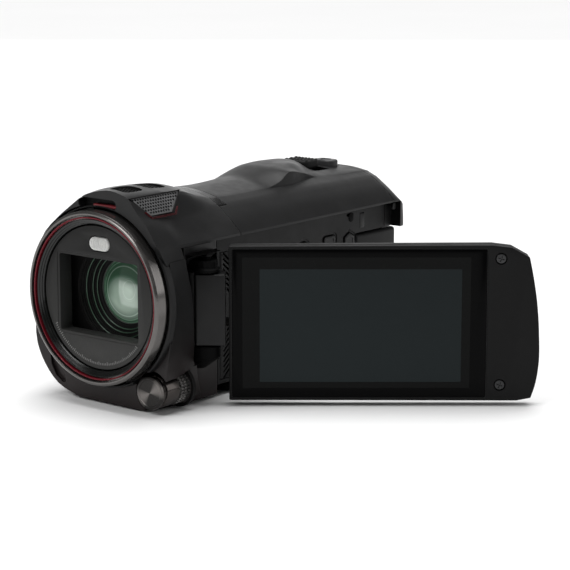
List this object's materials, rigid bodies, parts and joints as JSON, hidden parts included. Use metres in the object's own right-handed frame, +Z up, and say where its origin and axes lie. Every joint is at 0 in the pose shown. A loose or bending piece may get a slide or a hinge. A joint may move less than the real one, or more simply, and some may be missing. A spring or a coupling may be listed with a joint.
{
  "type": "camcorder",
  "caption": "Hand-held video camera with a zoom lens, a swing-out tilting screen, a zoom lever, press buttons, a lift-out battery and a hand strap.",
  "frame": {"origin": "middle of the flat base's underside, under the lens axis", "axes": "+Z up, -Y the way the lens looks, +X the side with the swing-out screen"},
  "size_m": [0.1596, 0.1401, 0.073],
  "materials": {
    "shell_black": "fine matte moulded plastic",
    "satin_grey": "satin dark grey plastic",
    "gloss_black": "polished black",
    "gunmetal": "satin gunmetal",
    "accent_red": "metallic red",
    "lamp_white": "frosted white diffuser",
    "lens_glass": "green coated glass",
    "screen_dark": "dark display panel",
    "steel": "brushed",
    "brass": "machined",
    "rubber_black": "matt",
    "webbing": "woven nylon",
    "board_green": "solder mask"
  },
  "bodies": {
    "camera_body": {"front_housing": "shell_black", "top_cover": "shell_black", "top_band": "gloss_black", "left_cover": "shell_black", "right_cover": "shell_black", "base_cover": "shell_black", "rear_cover": "shell_black", "lens_bezel": "gunmetal", "accent_ring": "accent_red", "lens_mask": "satin_grey", "video_lamp": "lamp_white", "lens_barrel": "rubber_black", "front_element": "lens_glass", "zoom_group": "lens_glass", "focus_group": "lens_glass", "image_sensor": "board_green", "brow_accent": "accent_red", "mic_grille_top": "steel", "mic_grille_left": "steel", "zoom_well": "rubber_black", "louvre_grille": "shell_black", "card_socket": "steel", "terminal_block": "rubber_black", "main_board": "board_green", "speaker": "rubber_black", "tripod_bush": "brass", "base_screw_1": "steel", "base_screw_2": "steel", "base_screw_3": "steel", "battery_bay": "rubber_black", "hinge_bracket": "steel", "hand_strap": "webbing", "strap_pad": "webbing", "strap_anchor_front": "steel", "strap_anchor_rear": "steel"},
    "lcd_arm": {"hinge_block": "satin_grey", "hinge_pin": "steel"},
    "lcd_panel": {"lcd_back_cover": "shell_black", "lcd_front_frame": "satin_grey", "lcd_glass": "gloss_black", "lcd_module": "screen_dark", "lcd_screw_upper": "steel", "lcd_screw_lower": "steel", "tilt_pin": "steel"},
    "zoom_lever_body": {"zoom_lever": "rubber_black"},
    "photo_button_body": {"photo_button": "satin_grey"},
    "record_button_body": {"record_button": "satin_grey"},
    "power_button_body": {"power_button": "satin_grey"},
    "mode_button_body": {"mode_button": "satin_grey"},
    "wireless_button_body": {"wireless_button": "satin_grey"},
    "function_dial_body": {"function_dial": "gunmetal"},
    "function_button_body": {"function_button": "gunmetal"},
    "lens_cover_upper_body": {"lens_cover_upper": "rubber_black"},
    "lens_cover_lower_body": {"lens_cover_lower": "rubber_black"},
    "battery_body": {"battery": "shell_black"},
    "battery_latch_body": {"battery_latch": "rubber_black"},
    "card_door_body": {"card_door": "shell_black"},
    "terminal_door_body": {"terminal_door": "shell_black"},
    "fan_rotor_body": {"fan_rotor": "rubber_black"}
  },
  "joints": [
    {"name": "lcd_open", "type": "hinge", "parent": "camera_body", "child": "lcd_arm", "pos_m": [0.0246, -0.0406, 0.0326], "axis": [0, 0, 1], "range_deg": [-38.75, 51.25]},
    {"name": "lcd_tilt", "type": "hinge", "parent": "lcd_arm", "child": "lcd_panel", "pos_m": [0.03084, -0.03559, 0.028], "axis": [0.7799, 0.6259, 0], "range_deg": [-22, 0]},
    {"name": "zoom_rock", "type": "hinge", "parent": "camera_body", "child": "zoom_lever_body", "pos_m": [-0.0029, 0.03, 0.066], "axis": [0, 0, 1], "range_deg": [-7, 7], "stiffness_Nm_per_rad": 0.004},
    {"name": "function_turn", "type": "hinge", "parent": "camera_body", "child": "function_dial_body", "pos_m": [0.0203, -0.055, 0.0075], "axis": [0, 1, 0], "continuous": true},
    {"name": "fan_spin", "type": "hinge", "parent": "camera_body", "child": "fan_rotor_body", "pos_m": [0.0155, -0.02, 0.012], "axis": [1, 0, 0], "continuous": true},
    {"name": "card_door_hinge", "type": "hinge", "parent": "camera_body", "child": "card_door_body", "pos_m": [0.02095, -0.0048, 0.00775], "axis": [0, -1, 0], "range_deg": [-100, 0]},
    {"name": "terminal_door_hinge", "type": "hinge", "parent": "camera_body", "child": "terminal_door_body", "pos_m": [0.02095, 0.02945, 0.019], "axis": [0, 0, -1], "range_deg": [-100, 0]},
    {"name": "photo_press", "type": "slide", "parent": "camera_body", "child": "photo_button_body", "axis": [0, 0, -1], "range_m": [0, 0.0008], "stiffness_N_per_m": 60, "springref_m": -0.001},
    {"name": "record_press", "type": "slide", "parent": "camera_body", "child": "record_button_body", "axis": [0, -1, 0], "range_m": [0, 0.0008], "stiffness_N_per_m": 60, "springref_m": -0.001},
    {"name": "power_press", "type": "slide", "parent": "camera_body", "child": "power_button_body", "axis": [-1, 0, 0], "range_m": [0, 0.0005], "stiffness_N_per_m": 60, "springref_m": -0.001},
    {"name": "mode_press", "type": "slide", "parent": "camera_body", "child": "mode_button_body", "axis": [-1, 0, 0], "range_m": [0, 0.0005], "stiffness_N_per_m": 60, "springref_m": -0.001},
    {"name": "wireless_press", "type": "slide", "parent": "camera_body", "child": "wireless_button_body", "axis": [-1, 0, 0], "range_m": [0, 0.0005], "stiffness_N_per_m": 60, "springref_m": -0.001},
    {"name": "function_press", "type": "slide", "parent": "function_dial_body", "child": "function_button_body", "axis": [0, 1, 0], "range_m": [0, 0.0005], "stiffness_N_per_m": 60, "springref_m": -0.001},
    {"name": "latch_slide", "type": "slide", "parent": "camera_body", "child": "battery_latch_body", "axis": [-1, 0, 0], "range_m": [0, 0.002], "stiffness_N_per_m": 60, "springref_m": -0.002},
    {"name": "battery_slide", "type": "slide", "parent": "camera_body", "child": "battery_body", "axis": [0, 1, 0], "range_m": [0, 0.03]},
    {"name": "shutter_upper", "type": "slide", "parent": "camera_body", "child": "lens_cover_upper_body", "axis": [0, 0, -1], "range_m": [0, 0.0135]},
    {"name": "shutter_lower", "type": "slide", "parent": "camera_body", "child": "lens_cover_lower_body", "axis": [0, 0, 1], "range_m": [0, 0.0135]}
  ],
  "couplings": [
    {"joint": "shutter_lower", "follows": "shutter_upper", "ratio": 1}
  ]
}
